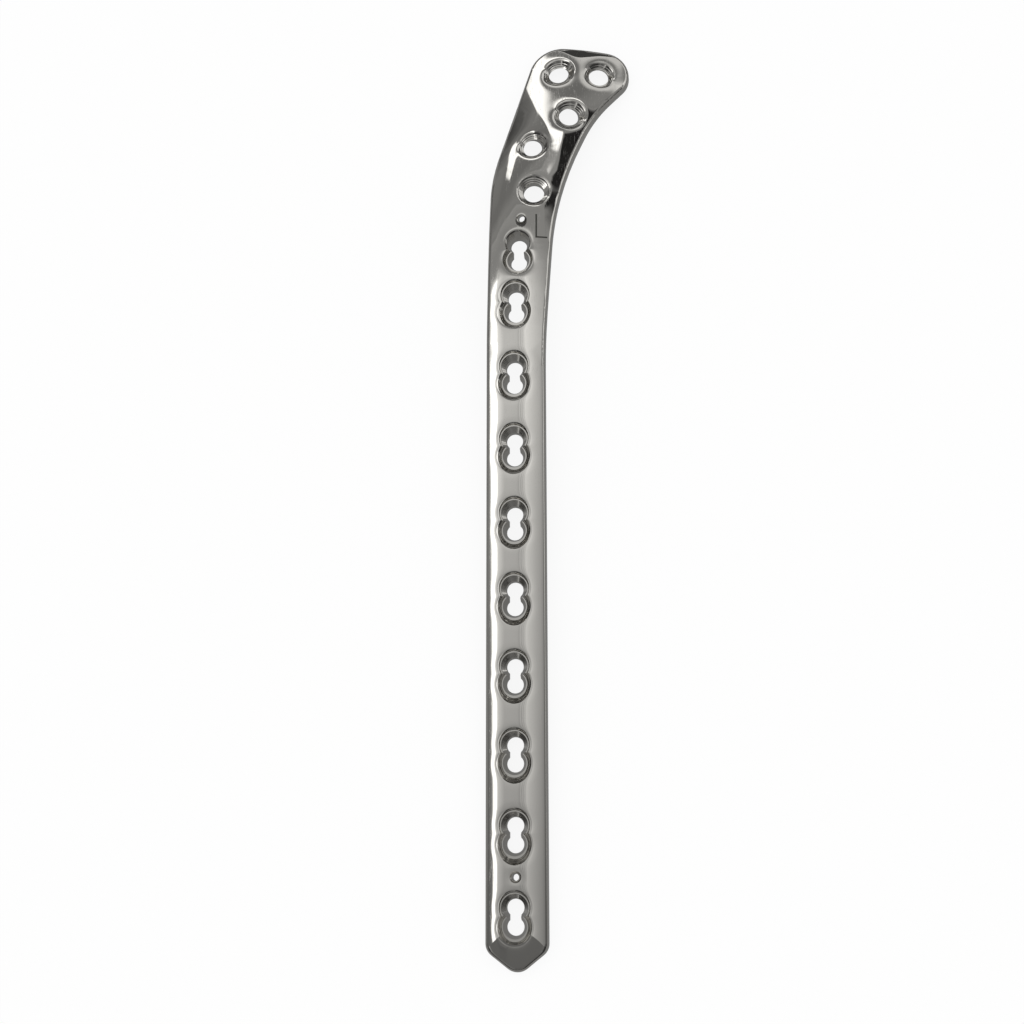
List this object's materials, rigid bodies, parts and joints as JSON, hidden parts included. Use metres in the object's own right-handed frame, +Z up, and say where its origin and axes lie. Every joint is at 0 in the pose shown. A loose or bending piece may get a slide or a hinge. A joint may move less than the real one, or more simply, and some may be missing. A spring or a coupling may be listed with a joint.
{
  "type": "orthopedic bone plate",
  "caption": "Bone plate: straight cambered shaft with double-lobed screw holes and a blunt nose, widening into a thin curved head with round threaded holes.",
  "frame": {"origin": "centre of the plate's bounding box in plan, on the surface it lies on", "axes": "+Y along the shaft towards the head, +Z up, away from the bone side"},
  "size_m": [0.0352, 0.228, 0.0106],
  "materials": {
    "steel": "polished"
  },
  "bodies": {
    "root": {"bone_plate": "steel"}
  },
  "joints": []
}
